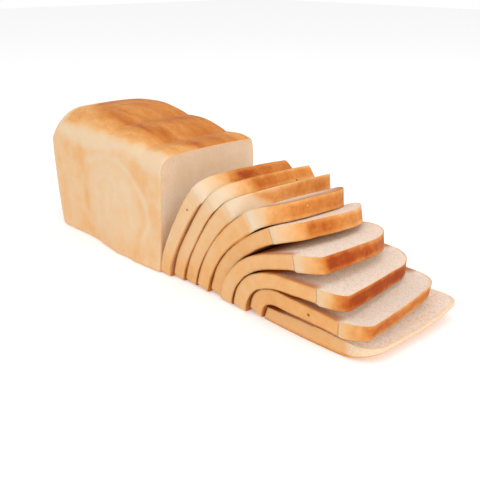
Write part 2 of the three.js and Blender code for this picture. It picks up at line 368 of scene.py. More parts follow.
def bake_of(near_run, far_run, height, ahead, form):
    """How a slice's crust baked. ahead is -1 on the face towards the block and 1 on the other."""
    side = form["side"] + form["foot_bake"] * falling(height, *FOOT_FADE)
    run = near_run - form.get("later", 0) * ahead * smooth(near_run, *LATER_FADE)
    start, end = form["brown"] - form["blend"] / 2, form["brown"] + form["blend"] / 2
    tone = lerp(form["tone"], form["far_tone"], smooth(near_run, end, end + FAR_TONE_RUN))
    tone = tone - CUT_EDGE * smooth(np.abs(ahead), *CUT_EDGE_FADE)
    brown = np.clip((run - start) / (end - start), 0, 1)
    cream_end = (form["cream"], form["pale"] + CREAM_GAIN)
    gold = along(run, ((0, form["pale"]), cream_end, (start, GOLD_BAKE)))
    gold = lerp(side, gold, smooth(run, -form["soft"], form["soft"]))
    far = lerp(side, along(far_run, FAR_BAKE), smooth(far_run, *FAR_RIM_FADE))
    return np.minimum(lerp(gold, tone, brown), far)


def crust_relief(near_run, loaf, fold, on_crust):
    """The unevenness of the crust, and the fold where the dough rose over the rim."""
    profile = sum(height * bell(near_run, run, width) for height, run, width in FOLD_PROFILE)
    relief = blotches_of(loaf, CRUST_WAVES) + profile * (FOLD_RELIEF + FOLD_GAIN * fold)
    return np.where(on_crust, relief, 0)


def crumb_relief(loaf, on_crust):
    return np.where(on_crust, 0, blotches_of(loaf, CRUMB_WAVES))


# ---- The uncut block ----
# Along the block, x from its back end to its cut face: the front edge of the brown at these y, and
# the lower edge of the cream band at these heights.
BROWN_EDGE = ((-187, 6), (-170, -10), (-154, -24), (-122, -36), (-92, -37), (-56, -36), (-36, -29),
              (-17, -28), (0, -14))
CREAM_EDGE = ((-187, 105), (-168, 103), (-139, 99), (-111, 95), (-85, 98), (-59, 103), (-35, 100),
              (-13, 93), (2, 89))
# Darker and paler patches of the brown: x, y, half length, half width and how much darker.
CROWN_PATCHES = (
    (-72, -27, 26, 5, 0.182), (-47, -16, 13, 6, 0.13), (-74, 22, 9, 24, 0.13),
    (-10, -10, 11, 7, 0.156), (-10, 14, 8, 16, 0.091), (-160, 8, 10, 30, 0.13),
    (-118, -26, 18, 6, 0.078), (-38, 30, 9, 20, 0.065), (-60, -6, 18, 4, -0.13),
    (-14, 46, 14, 14, -0.156), (-112, 4, 20, 14, -0.065), (-30, 2, 9, 8, -0.078),
)
# Tan patches on the near side: x, height, half length, half height and how much darker.
TAN_PATCHES = (
    (-150, 88, 14, 9, 0.07), (-132, 81, 5, 14, 0.06), (-127, 39, 5, 22, 0.07), (-133, 10, 12, 10, 0.07),
    (-76, 5, 26, 8, 0.05), (-40, 86, 8, 10, 0.05), (-24, 82, 9, 16, 0.07), (-12, 60, 8, 22, 0.07),
    (-40, 10, 24, 14, 0.05), (-168, 50, 14, 30, 0.03),
)
# Pale lines that the rolled dough left in the near side: points of x and height, width, how pale.
ROLL_LINES = (
    (((-119, 83), (-101, 90), (-85, 94), (-68, 93), (-52, 87), (-34, 71), (-23, 59), (-17, 41),
      (-29, 23)), 3.4, 0.12),
    (((-96, 72), (-84, 77), (-74, 74), (-70, 62), (-74, 46)), 2, 0.035),
    (((-92, 64), (-86, 68), (-81, 60)), 1.6, 0.04),
    (((-84, 55), (-87, 33)), 3.4, 0.05),
    (((-60, 74), (-48, 52), (-46, 34)), 2.4, 0.03),
    (((-104, 78), (-106, 56), (-102, 36)), 2.6, 0.025),
)
ROLL_RIDGE = 1.3                # how high such a line stands, for each whole step that it is paler
ROLL_WANDER = ((2, 16, 8),), ((2, 16, 9),)      # along the block and up it
# The oval inside those lines, paler, and the fine rings in it.
SWIRL_PALE = 0.07
SWIRL_FADE = (0.75, 1.05)
SWIRL_BACK_FADE = (-132, -96)
SWIRL_FOOT_FADE = (4, 34)
RINGS = {"turns": 34, "height": 0.05, "darker": 0.008}
RINGS_FADE = (0.9, 1)
RINGS_PATCHES = ((1, 26, 10),)
RINGS_PATCHES_FADE = (-0.1, 0.5)

END_RUN = 1.25                  # run over the block's rounded end for each millimetre along it
END_RIM = 2                     # how much higher than the sides' the rim of the back end is
RIM_FADE = (-6, 5)
GOLD_FADE = (13, 27)            # in runs from the near rim
BROWN_EDGE_FADE = (-9, 10)
BROWN_END_FADE = (10, 34)
BROWN_FAR_FADE = (3, 14)
CROWN_FADE = (0, 10)            # in which the marks of the tin give way to those of the oven
CUT_FOOT_SHADE = 0.28            # painted shade on the cut face's foot, under the first slice
CUT_FOOT_FADE = (12, 48)
CUT_TOP_SHADE = 0.16             # and painted darker and golden under the crown, against the lamp's light
CUT_TOP_FADE = (66, 108)


def lobe_rise(x):
    """How far the crown rises over the rim at each place along the block."""
    rises = []
    for lobe in LOBES:
        fall = np.where(x < lobe["middle"], lobe["fall_behind"], lobe["fall_ahead"])
        rises.append(lobe["rise"] - fall * (x - lobe["middle"]) ** 2)
    return np.max(rises, axis=0)


def block_form(x):
    """The block's outline at each place along it, in the words of a slice's."""
    opening = np.clip((x + BLOCK_LENGTH) / END_ROUND, 0, 1)
    crown = lobe_rise(x) * np.sqrt(1 - (1 - opening) ** 2)
    grown = np.maximum(crown - SHOULDER_AT, 0)
    return {
        "rim": RIM,
        "crown": np.maximum(crown, CROWN_DOME),
        "tilt": 0,
        "near": NEAR_SHOULDER["width"] + NEAR_SHOULDER["growth"] * grown,
        "far": FAR_SHOULDER["width"] + FAR_SHOULDER["growth"] * grown,
    }


def swirl_reach(x, z):
    """0 in the middle of the oval where the rolled dough pressed on the tin, and 1 at its edge."""
    return np.hypot((x - SWELL["x"]) / SWELL["half_length"], (z - SWELL["z"]) / SWELL["half_height"])


def near_swell(x, z):
    """How far the near side stands out: at the oval, and at the foot, which spread."""
    oval = np.maximum(1 - swirl_reach(x, z) ** 2, 0)
    spread = np.maximum(1 - ((x - SPREAD["x"]) / SPREAD["half_length"]) ** 2, 0)
    return SWELL["depth"] * oval + SPREAD["depth"] * spread * foot_share(z)


def line_distance(x, height, line):
    """How far each place of the near side is from a line through the given points."""
    nearest = np.full_like(x, np.inf)
    for (x0, z0), (x1, z1) in zip(line, line[1:]):
        across, up = x1 - x0, z1 - z0
        share = np.clip(((x - x0) * across + (height - z0) * up) / (across ** 2 + up ** 2), 0, 1)
        nearest = np.minimum(nearest, np.hypot(x - x0 - share * across, height - z0 - share * up))
    return nearest


def roll_marks(x, height, loaf):
    """How pale the near side is where the rolled dough pressed on the tin, and its ridges."""
    bent_x = x + blotches_of(loaf, ROLL_WANDER[0])
    bent_height = height + blotches_of(loaf, ROLL_WANDER[1])
    reach = swirl_reach(bent_x, bent_height)
    inside = falling(reach, *SWIRL_FADE) * smooth(x, *SWIRL_BACK_FADE)
    inside = inside * smooth(height, *SWIRL_FOOT_FADE)
    rings = np.sin(reach * RINGS["turns"]) * falling(reach, *RINGS_FADE)
    rings = rings * smooth(blotches_of(loaf, RINGS_PATCHES), *RINGS_PATCHES_FADE)
    pale = SWIRL_PALE * inside - RINGS["darker"] * rings
    ridge = RINGS["height"] * rings
    for line, width, paler in ROLL_LINES:
        mark = bell(line_distance(bent_x, bent_height, line), 0, width)
        pale = pale + paler * mark
        ridge = ridge + ROLL_RIDGE * paler * mark
    return pale, ridge


def side_bake_of(x, height, loaf, pale):
    """The block's near side: tan, with darker patches and the pale marks of the rolled dough."""
    bake = SIDE_BAKE - pale + blotches_of(loaf, SIDE_CLOUDS)
    for patch_x, patch_height, half_length, half_height, darker in TAN_PATCHES:
        bake = bake + darker * bell(x, patch_x, half_length) * bell(height, patch_height, half_height)
    return bake


def crown_bake_of(x, y, cut, end_run, loaf):
    """The block's crown: cream at the rim, gold on the shoulder and blotchy brown on top."""
    wander = blotches_of(loaf, BROWN_WANDER)
    gold = smooth(np.minimum(cut["near_run"], end_run) + wander, *GOLD_FADE)
    brown = smooth(y - along(x, BROWN_EDGE) + wander, *BROWN_EDGE_FADE)
    brown = brown * smooth(end_run + wander, *BROWN_END_FADE)
    brown = brown * smooth(cut["far_run"] + wander, *BROWN_FAR_FADE)
    tone = BROWN_BAKE + blotches_of(loaf, BROWN_CLOUDS)
    for patch_x, patch_y, half_length, half_width, darker in CROWN_PATCHES:
        tone = tone + darker * bell(x, patch_x, half_length) * bell(y, patch_y, half_width)
    return lerp(lerp(RIM_BAKE, GOLD_BAKE, gold), tone, brown)


def make_block(material):
    """The uncut block, from its rounded back end to its cut face."""
    mesh = cut_box(BLOCK_CELLS)
    a, b, c = corners_of(mesh)
    share = (a + 1) / 2
    x = BLOCK_LENGTH * (share - 1) * (1 + END_CROWDING * np.sin(math.pi * share))
    b = even_columns(b, block_form(np.array(EVEN_AT)))
    cut = section(b, c, block_form(x))
    y, height = cut["y"], cut["height"]
    near_side = b < -OUTSIDE
    back = a < -OUTSIDE
    on_crust = (cut["depth"] < SKIN) | back
    cut_edge = (a > OUTSIDE) & (cut["depth"] < SKIN)
    taper = END_TAPER * np.clip(1 - height / RIM, 0, 1) * -x / BLOCK_LENGTH
    swell = np.where(near_side, near_swell(x, height), 0)
    points = np.stack([x + taper - EDGE_SOFTNESS * cut_edge, y - swell, height], 1)
    loaf = np.stack([x, y, height], 1)
    end_run = np.where(back, height - RIM - END_RIM, (x + BLOCK_LENGTH) * END_RUN)
    over = np.minimum(np.minimum(cut["near_run"], cut["far_run"]), end_run)
    over = over - (along(x, CREAM_EDGE) - RIM)
    pale, ridge = roll_marks(x, height, loaf)
    side_bake = np.where(y < 0, side_bake_of(x, height, loaf, pale), SIDE_BAKE)
    crown_bake = crown_bake_of(x, y, cut, end_run, loaf)
    bake = lerp(side_bake, crown_bake, smooth(over + blotches_of(loaf, RIM_WANDER), *RIM_FADE))
    bake = bake + BASE_LINE * falling(height, *BASE_LINE_FADE)
    fold = np.where((c > OUTSIDE) | near_side | back, over, NO_FOLD)
    relief = crust_relief(fold, loaf, BLOCK_FOLD, on_crust) + crumb_relief(loaf, on_crust)
    foot_waves = blotches_of(loaf, FOOT_WAVES) * falling(height, *FOOT_WAVES_FADE)
    relief = relief + np.where(near_side, ridge + foot_waves, 0)
    on_crown = on_crust & (over > CROWN_RIDGES_FROM)
    relief = relief + np.where(on_crown, blotches_of(loaf, CROWN_RIDGES), 0)
    # Painted warm shade on the cut face: at its foot, under the first slice, and under the crown.
    painted_shade = (CUT_FOOT_SHADE * falling(height, *CUT_FOOT_FADE)
                + CUT_TOP_SHADE * smooth(height, *CUT_TOP_FADE))
    notes = {"loaf": loaf, "bake": bake, "depth": np.where(back, 0, cut["depth"]),
             "crown": smooth(over, *CROWN_FADE), "rim_run": fold, "fold": np.zeros_like(x),
             "painted_shade": painted_shade}
    make_piece("uncut_block", mesh, points, relief, notes, material)


# ---- Slices ----
SLICE_STEP = 60                 # between slices in the patterns, so that no two are alike
OPEN_FADE = 12                  # how far up and down a joint takes to open
CLOSE_FADE = 8                  # and over how much height it closes again
FLARE_RUN_FADE = (-0.8, 1.6)
FLARE_ACROSS_FADE = (-30, 10)
FOLD_PINCH = 0.3                # how much a fold of 1 pinches a slice, just below the rim
FOLD_PINCH_RUN = {"middle": -1.5, "width": 3}
LIP_DEPTH_FADE = (0, 14)
LIP_HEIGHT = {"middle": 86, "width": 24}
FOLD_SHADE_ACROSS_FADE = (-20, 20)
# Where painted shade tints the crumb of a cut face warm brown, for the shade between the pieces:
# below the heights where the joint is open, along the side crust where the gaps open, and on the
# face towards the block of the one slice given a reach for it.
LOW_FADE = 26                   # how far up it fades out from there
GAP_MOUTH_SHADE = 0.85
EDGE_DEPTH_FADE = (3, 12)
EDGE_RUN_FADE = (-4, 4)
GAP_SHADE_FULL = 0.2              # how far outside the crust it would be full, as a share of its reach
GAP_SHADE_RUN_FADE = (0, 8)


def middle_line(lean, droop, length=160, step=0.25):
    """How far ahead and up the middle of a slice is, and its lean, at even steps along it."""
    run = np.arange(0, length, step)
    angle = np.radians(np.interp(run, LEAN_AT, lean) + droop * smooth(run, *DROOP_FADE))
    half_way = (angle[1:] + angle[:-1]) / 2
    ahead = np.concatenate([[0], np.cumsum(np.sin(half_way) * step)])
    up = np.concatenate([[0], np.cumsum(np.cos(half_way) * step)])
    up += FOOT_THICKNESS / 2 * math.sin(angle[0])
    return run, ahead, up, angle


def bend_of(y, height, form):
    """How far ahead and up the slice's middle is at each place, and its lean there."""
    near_line = middle_line(form["lean"], 0)
    far_line = middle_line(form["lean"], form["droop"])
    share = across_share(y) ** 2
    bend = []
    for near, far in zip(near_line[1:], far_line[1:]):
        at_near = np.interp(height, near_line[0], near)
        at_far = np.interp(height, far_line[0], far)
        bend.append(lerp(at_near, at_far, share))
    return bend


def open_share(height, form):
    """1 where the joints with the neighbours are open, and 0 where they are closed."""
    opens, closes = form["open"]
    opening = smooth(height, opens - OPEN_FADE, opens + OPEN_FADE)
    return opening * falling(height, closes, closes + CLOSE_FADE)


def half_thickness(a, cut, cut_edge, open_joint, form):
    """Half of a slice's thickness, with how its cut edges stand out or back."""
    y, height, near_run = cut["y"], cut["height"], cut["near_run"]
    half = lerp(FOOT_THICKNESS, form["thick"], smooth(height, 0, THINNING)) / 2
    back = lerp(-CLOSED_SWELL, EDGE_SOFTNESS, open_joint) * cut_edge
    flare = form.get("flare", 0) * smooth(near_run, *FLARE_RUN_FADE) * falling(y, *FLARE_ACROSS_FADE)
    lip = form.get("lip", 0) * falling(cut["depth"], *LIP_DEPTH_FADE)
    lip = lip * bell(height, **LIP_HEIGHT) * (y < 0)
    pinch = FOLD_PINCH * form["fold"] * bell(near_run, **FOLD_PINCH_RUN)
    return half - back + (flare + lip) * (a > 0) - pinch


def slice_bake_of(number, a, cut, cut_edge, open_joint, loaf, form):
    """How a slice's crust baked, with painted shade along its joints for the shade in the gaps."""
    near_run, height = cut["near_run"], cut["height"]
    wander = blotches_of(loaf, SLICE_WANDER) * smooth(near_run, *SLICE_WANDER_FADE)
    wander = wander + form["soft"] * blotches_of(loaf, SOFT_WANDER)
    bake = bake_of(near_run + wander, cut["far_run"], height, a, form)
    bake = bake + BASE_LINE * falling(height, *BASE_LINE_FADE)
    # Painted shade of the gaps: the first slice stands clear of the block, so its edge towards it has
    # none.
    facing = np.where(a > 0, 1, BACK_SHARE * (number > 1))
    joint_shade = cut_edge * facing * lerp(CLOSED_SHARE, 1, open_joint) * falling(near_run, *JOINT_SHADE_FADE)
    return bake + JOINT_SHADE * joint_shade


def painted_shade_of(a, over, cut, form):
    """How strongly painted warm shade tints the crumb of the cut faces, 0 to 1, for the shade in the
    gaps.
    """
    opens = form["open"][0]
    low = falling(cut["height"], opens, opens + LOW_FADE)
    gap_mouth_shade = GAP_MOUTH_SHADE * falling(cut["depth"], *EDGE_DEPTH_FADE) * falling(over, *EDGE_RUN_FADE)
    painted_shade = np.maximum(low, gap_mouth_shade)
    # Painted shade on the face towards the block, for the dark gap between it and the slice behind.
    if "gap_shade" in form:
        reach = form["gap_shade"]
        gap_shade = (a < -OUTSIDE) * falling(cut["depth"], -GAP_SHADE_FULL * reach, reach)
        painted_shade = np.maximum(painted_shade, gap_shade * smooth(over, *GAP_SHADE_RUN_FADE))
    return painted_shade


def make_slice(number, form, material):
    """One slice, bent over its foot: a is -1 on the face towards the block and 1 on the ahead face."""
    mesh = cut_box(SLICE_CELLS)
    a, b, c = corners_of(mesh)
    b = even_columns(b, form)
    cut = section(b, c, {**form, "crown": form["crown"] + a * form["slant"]})
    y, height = cut["y"], cut["height"]
    ahead, up, angle = bend_of(y, height, form)
    on_crust = cut["depth"] < SKIN
    cut_edge = on_crust & (np.abs(a) > OUTSIDE)
    open_joint = open_share(height, form)
    half = half_thickness(a, cut, cut_edge, open_joint, form)
    spread = form["spread"] * foot_share(height) * (1 - across_share(y))
    points = np.stack([ahead + a * half * np.cos(angle) + form["foot"], y + form["shift"] - spread,
                       up - a * half * np.sin(angle)], 1)
    loaf = np.stack([SLICE_STEP * number + a * half, y, height], 1)
    bake = slice_bake_of(number, a, cut, cut_edge, open_joint, loaf, form)
    fold = np.where(on_crust, cut["near_run"], NO_FOLD)
    relief = crust_relief(fold, loaf, form["fold"], on_crust) + crumb_relief(loaf, on_crust)
    over = np.minimum(cut["near_run"], cut["far_run"])
    # The fold note is how dark the painted shade in the crease at the rim is.
    notes = {"loaf": loaf, "bake": bake, "depth": cut["depth"], "crown": smooth(over, *CROWN_FADE),
             "rim_run": fold, "fold": form["fold"] * falling(y, *FOLD_SHADE_ACROSS_FADE),
             "painted_shade": painted_shade_of(a, over, cut, form)}
    make_piece(f"slice_{number}", mesh, points, relief, notes, material)


# ---- The heel ----
HEEL_STEP = {"at": SLICE_STEP * 10, "thickness": 12}    # its place in the patterns
UNDERSIDE_BAKE = 0.2            # how much darker its underside baked than its sides
UNDERSIDE_FADE = (0.5, 1)
PARED_DEPTH = 0.9               # how deep under the crust its crown looks, which was cut thin
PARED_FADE = (-10, 4)
PARED_TO = 0.7                  # down to this far from its middle, where -1 is its upper face
# The heel's cut face gets painted warm shade at its foot, under the last slice.
HEEL_FOOT_SHADE_FADE = (8, 30)


def make_heel(material):
    """The loaf's end, crust down, with its cut face up: a is -1 there and 1 on its underside."""
    mesh = cut_box(SLICE_CELLS)
    a, b, c = corners_of(mesh)
    b = even_columns(b, HEEL)
    cut = section(b, c, HEEL)
    y, height = cut["y"], cut["height"]
    length = HEEL["rim"] + HEEL["crown"]

    def beyond(start):
        """0 up to start and 1 at the far end."""
        return np.maximum(height - start, 0) / (length - start)

    lift = HEEL_LIFT["rise"] * beyond(HEEL_LIFT["from"]) ** 2 * across_share(y) ** HEEL_LIFT_POWER
    underside = HEEL_ROUND["rise"] * beyond(HEEL_ROUND["from"]) ** 2
    top = HEEL["thickness"] + HEEL_SWELL * np.sin(math.pi * height / length)
    level = (a + 1) / 2
    outer = a > OUTSIDE
    cut_edge = (a < -OUTSIDE) & (cut["depth"] < SKIN)
    x = HEEL["foot"] + height + HEEL_SLANT * (1 - c) * (1 - level)
    z = lift + lerp(top - EDGE_SOFTNESS * cut_edge, underside, level)
    points = np.stack([x, y + HEEL["shift"], z], 1)
    on_crust = (cut["depth"] < SKIN) | outer
    loaf = np.stack([HEEL_STEP["at"] - level * HEEL_STEP["thickness"], y, height], 1)
    bake = bake_of(cut["near_run"], cut["far_run"], height, 0, HEEL)
    bake = bake + UNDERSIDE_BAKE * smooth(a, *UNDERSIDE_FADE)
    relief = crumb_relief(loaf, on_crust) + np.where(on_crust, blotches_of(loaf, HEEL_WAVES), 0)
    pared = PARED_DEPTH * smooth(cut["near_run"], *PARED_FADE) * (a < PARED_TO)
    depth = np.where(outer, 0, np.maximum(cut["depth"], pared))
    notes = {"loaf": loaf, "bake": bake, "depth": depth,
             "crown": smooth(cut["near_run"], *CROWN_FADE),
             "rim_run": np.full_like(x, NO_FOLD), "fold": np.zeros_like(x),
             "painted_shade": falling(height, *HEEL_FOOT_SHADE_FADE)}
    make_piece("heel", mesh, points, relief, notes, material)


# ---- Materials ----
def colour(red, green, blue):
    """A colour given as it shows on a screen, from 0 to 255, as Blender mixes it."""
    shown = [v / 255 for v in (red, green, blue)]
    return [v / 12.92 if v <= 0.04045 else ((v + 0.055) / 1.055) ** 2.4 for v in shown] + [1]


def put(tree, kind, inputs=None, **settings):
    """Adds a node. An input is a value, or the socket that feeds it."""
    node = tree.nodes.new("ShaderNode" + kind)
    for key, value in settings.items():
        setattr(node, key, value)
    for key, value in (inputs or {}).items():
        if isinstance(value, bpy.types.NodeSocket):
            tree.links.new(value, node.inputs[key])
        else:
            node.inputs[key].default_value = value
    return node


def math_of(tree, operation, *values):
    """A Math node's result. Each value is a number, or the socket that feeds it."""
    return put(tree, "Math", dict(enumerate(values)), operation=operation).outputs[0]


def total(tree, first, *others):
    for other in others:
        first = math_of(tree, "ADD", first, other)
    return first


def times(tree, first, second):
    return math_of(tree, "MULTIPLY", first, second)


def swing(tree, pattern, amount):
    """A pattern about zero, as strong as the amount."""
    return times(tree, math_of(tree, "SUBTRACT", pattern, 0.5), amount)


def mix_values(tree, share, first, second):
    return put(tree, "Mix", {0: share, 2: first, 3: second}).outputs[0]


def mix_colours(tree, share, first, second):
    return put(tree, "Mix", {0: share, 6: first, 7: second}, data_type="RGBA").outputs[2]


def ramp(tree, share, stops):
    node = put(tree, "ValToRGB", {0: share})
    elements = node.color_ramp.elements
    while len(elements) < len(stops):
        elements.new(0.5)
    for element, (place, shade) in zip(elements, stops):
        element.position = place
        element.color = shade
    return node.outputs["Color"]


def ease(tree, value, low, high):
    """0 below low, 1 above high, and an even curve between."""
    node = put(tree, "MapRange", {"Value": value, "From Min": low, "From Max": high},
               interpolation_type="SMOOTHSTEP")
    return node.outputs["Result"]


def carry(tree, value, start, end):
    """Goes evenly from one (value, result) to the other."""
    return put(tree, "MapRange", {"Value": value, "From Min": start[0], "From Max": end[0],
                                  "To Min": start[1], "To Max": end[1]}).outputs["Result"]


def noise_at(tree, place, stretch, detail=3, roughness=0.5):
    """Noise from about 0 to 1. stretch gives the size of its patches along X, Y and Z."""
    scaled = put(tree, "Mapping", {"Vector": place, "Scale": [1 / s for s in stretch]})
    node = put(tree, "TexNoise", {"Vector": scaled.outputs[0], "Scale": 1, "Detail": detail,
                                  "Roughness": roughness})
    return node.outputs["Fac"]


def bent_place(tree, place, scale, reach):
    """The place pushed about by soft noise, so that a pattern taken there bends."""
    drift = put(tree, "TexNoise", {"Vector": place, "Scale": scale}).outputs["Color"]
    push = put(tree, "VectorMath", {0: drift, "Scale": reach}, operation="SCALE").outputs[0]
    return put(tree, "VectorMath", {0: place, 1: push}, operation="ADD").outputs[0]


def new_group(name, takes, gives):
    tree = bpy.data.node_groups.new(name, "ShaderNodeTree")
    for way, sockets in (("INPUT", takes), ("OUTPUT", gives)):
        for socket, kind in sockets.items():
            tree.interface.new_socket(socket, in_out=way, socket_type="NodeSocket" + kind)
    start, end = tree.nodes.new("NodeGroupInput"), tree.nodes.new("NodeGroupOutput")
    return tree, start.outputs, end.inputs


CRUST_STOPS = (
    (0.0, colour(233, 214, 190)),
    (0.14, colour(231, 203, 168)),
    (0.3, colour(232, 191, 145)),
    (0.42, colour(231, 175, 114)),
    (0.55, colour(221, 152, 84)),
    (0.68, colour(207, 130, 60)),
    (0.8, colour(193, 110, 43)),
    (0.92, colour(172, 78, 19)),
    (1.0, colour(155, 62, 11)),
)
# Painted shade: the dark line in the crease of the fold at the rim.
FOLD_SHADE_COLOUR = colour(168, 116, 68)
FOLD_SHADE_WANDER = 3                 # how far the painted shade line in the fold wanders
FOLD_SHADE_LINE = (0.1, 0.9)          # how far from the rim it fades out
BURNT = colour(148, 88, 44)
FLOUR = colour(246, 206, 150)
# Burnt specks and pale flecks of flour: where each lies in the loaf, its radius and its colour.
SPECKS = (
    ((60, -58.3, 78), 1.5, BURNT),
    ((125, 29, 111), 1.5, BURNT),
    ((480, -58.3, 73), 1.8, BURNT),
    ((238, -39, 135), 1.2, FLOUR),
    ((238, -28, 135), 1.2, FLOUR),
)
SPECK_CORE = 0.4                # share of its radius that is wholly its colour
# How strongly each pattern darkens and pales the sides, the mottle the crown, and the grain both.
SIDE_MARKS = {"tin_streaks": 0.04, "clouds": 0.12, "patches": 0.18, "mottle": 0.08}
CROWN_MOTTLE = 0.2
GRAIN = 0.05
PALE_MARKS = (0.1, 0.25)        # at this bake the crown's marks are this strong
BROWN_MARKS = (0.65, 1)
GRAIN_RELIEF = 0.3
MOTTLE_RELIEF = 0.7


def crust_group():
    """The crust's colour from its bake and the marks of tin and oven, with painted shade in the fold's
    crease.
    """
    tree, takes, gives = new_group(
        "crust", {"Loaf": "Vector", "Bake": "Float", "Crown": "Float", "Rim Run": "Float",
                  "Fold Shade": "Float", "Streaks": "Float", "Blotches": "Float"},
        {"Colour": "Color", "Height": "Float"})
    loaf = takes["Loaf"]
    bent = bent_place(tree, loaf, scale=0.06, reach=16)
    tin_streaks = noise_at(tree, loaf, (2.6, 2.6, 70))
    clouds = noise_at(tree, loaf, (30, 30, 30))
    oven_streaks = noise_at(tree, bent, (26, 7, 14), detail=4, roughness=0.55)
    patches = noise_at(tree, loaf, (11, 11, 11), roughness=0.55)
    mottle = noise_at(tree, loaf, (3, 3, 3), roughness=0.6)
    grain = noise_at(tree, loaf, (0.9, 0.9, 0.9), detail=2)

    side = total(tree, swing(tree, tin_streaks, SIDE_MARKS["tin_streaks"]),
                 swing(tree, clouds, SIDE_MARKS["clouds"]),
                 swing(tree, patches, SIDE_MARKS["patches"]),
                 swing(tree, mottle, SIDE_MARKS["mottle"]))
    top = total(tree, swing(tree, oven_streaks, takes["Streaks"]),
                swing(tree, patches, takes["Blotches"]),
                swing(tree, mottle, CROWN_MOTTLE))
    top = times(tree, top, carry(tree, takes["Bake"], PALE_MARKS, BROWN_MARKS))
    marks = mix_values(tree, takes["Crown"], side, top)
    shade = ramp(tree, total(tree, takes["Bake"], marks, swing(tree, grain, GRAIN)), CRUST_STOPS)

    # Painted shade in the crease of the fold at the rim.
    run = math_of(tree, "ABSOLUTE", total(tree, takes["Rim Run"], swing(tree, mottle, FOLD_SHADE_WANDER)))
    off_line = ease(tree, run, *FOLD_SHADE_LINE)
    fold_shade = times(tree, math_of(tree, "SUBTRACT", 1, off_line), takes["Fold Shade"])
    shade = mix_colours(tree, fold_shade, shade, FOLD_SHADE_COLOUR)
    for place, radius, speck_colour in SPECKS:
        distance = put(tree, "VectorMath", {0: loaf, 1: place}, operation="DISTANCE").outputs["Value"]
        beyond = ease(tree, distance, SPECK_CORE * radius, radius)
        shade = mix_colours(tree, beyond, speck_colour, shade)
    tree.links.new(shade, gives["Colour"])
    height = total(tree, times(tree, grain, GRAIN_RELIEF), times(tree, mottle, MOTTLE_RELIEF))
    tree.links.new(height, gives["Height"])
    return tree


CRUMB_STOPS = (
    (0.0, colour(222, 194, 171)),
    (0.45, colour(238, 217, 199)),
    (1.0, colour(245, 231, 217)),
)
CRUMB_WARMTH = colour(226, 196, 158)
# The warm brown of painted shade on the crumb, where the pieces shade each other.
PAINTED_SHADE_COLOUR = colour(190, 114, 54)
UNDER_CRUST = colour(232, 196, 150)
UNDER_CRUST_SHARE = 0.5
UNDER_CRUST_DEPTH = (0.6, 4)
PORES = (0.36, 0.6)             # below the first, a pore is open, and above the second there is none
WIDE_PORES = (0.34, 0.56)
FINE_SHARE = 0.68               # how much of the crumb's look its fine pores make


def crumb_group():
    """Pale crumb with fine pores, a little denser and more golden under the crust; painted shade in
    gaps.
    """
    tree, takes, gives = new_group(
        "crumb", {"Loaf": "Vector", "Depth": "Float", "Painted Shade": "Float", "Warmth": "Float"},
        {"Colour": "Color", "Height": "Float"})
    loaf = takes["Loaf"]
    bent = bent_place(tree, loaf, scale=0.045, reach=26)
    fine = ease(tree, noise_at(tree, loaf, (1.3, 1.3, 1.3), roughness=0.6), *PORES)
    wide = ease(tree, noise_at(tree, bent, (3, 2.2, 5.5), detail=2, roughness=0.55), *WIDE_PORES)
    clouds = noise_at(tree, loaf, (26, 26, 26), detail=2)
    light = total(tree, times(tree, fine, FINE_SHARE), times(tree, wide, 1 - FINE_SHARE))
    shade = ramp(tree, light, CRUMB_STOPS)
    shade = mix_colours(tree, times(tree, clouds, takes["Warmth"]), shade, CRUMB_WARMTH)
    deep = ease(tree, takes["Depth"], *UNDER_CRUST_DEPTH)
    close = times(tree, math_of(tree, "SUBTRACT", 1, deep), UNDER_CRUST_SHARE)
    shade = mix_colours(tree, close, shade, UNDER_CRUST)
    # Painted shade: warm brown where the pieces shade each other's crumb.
    shade = mix_colours(tree, takes["Painted Shade"], shade, PAINTED_SHADE_COLOUR)
    tree.links.new(shade, gives["Colour"])
    tree.links.new(light, gives["Height"])
    return tree


CRUST_DEPTH = (0.2, 0.9)        # how deep the crust's colour goes over into the crumb's
PALE_ROUGHNESS = (0.3, 0.7)     # crust of this bake is this rough
BROWN_ROUGHNESS = (0.9, 0.52)
CRUMB_ROUGHNESS = 0.92
BUMP_STRENGTH = 0.5
BUMP_HEIGHT = 0.5 * MM
SPECULAR = 0.12
SUBSURFACE = {"Subsurface Weight": 0.2, "Subsurface Radius": (1, 0.5, 0.25), "Subsurface Scale": 6 * MM}

crust_shading = crust_group()
crumb_shading = crumb_group()


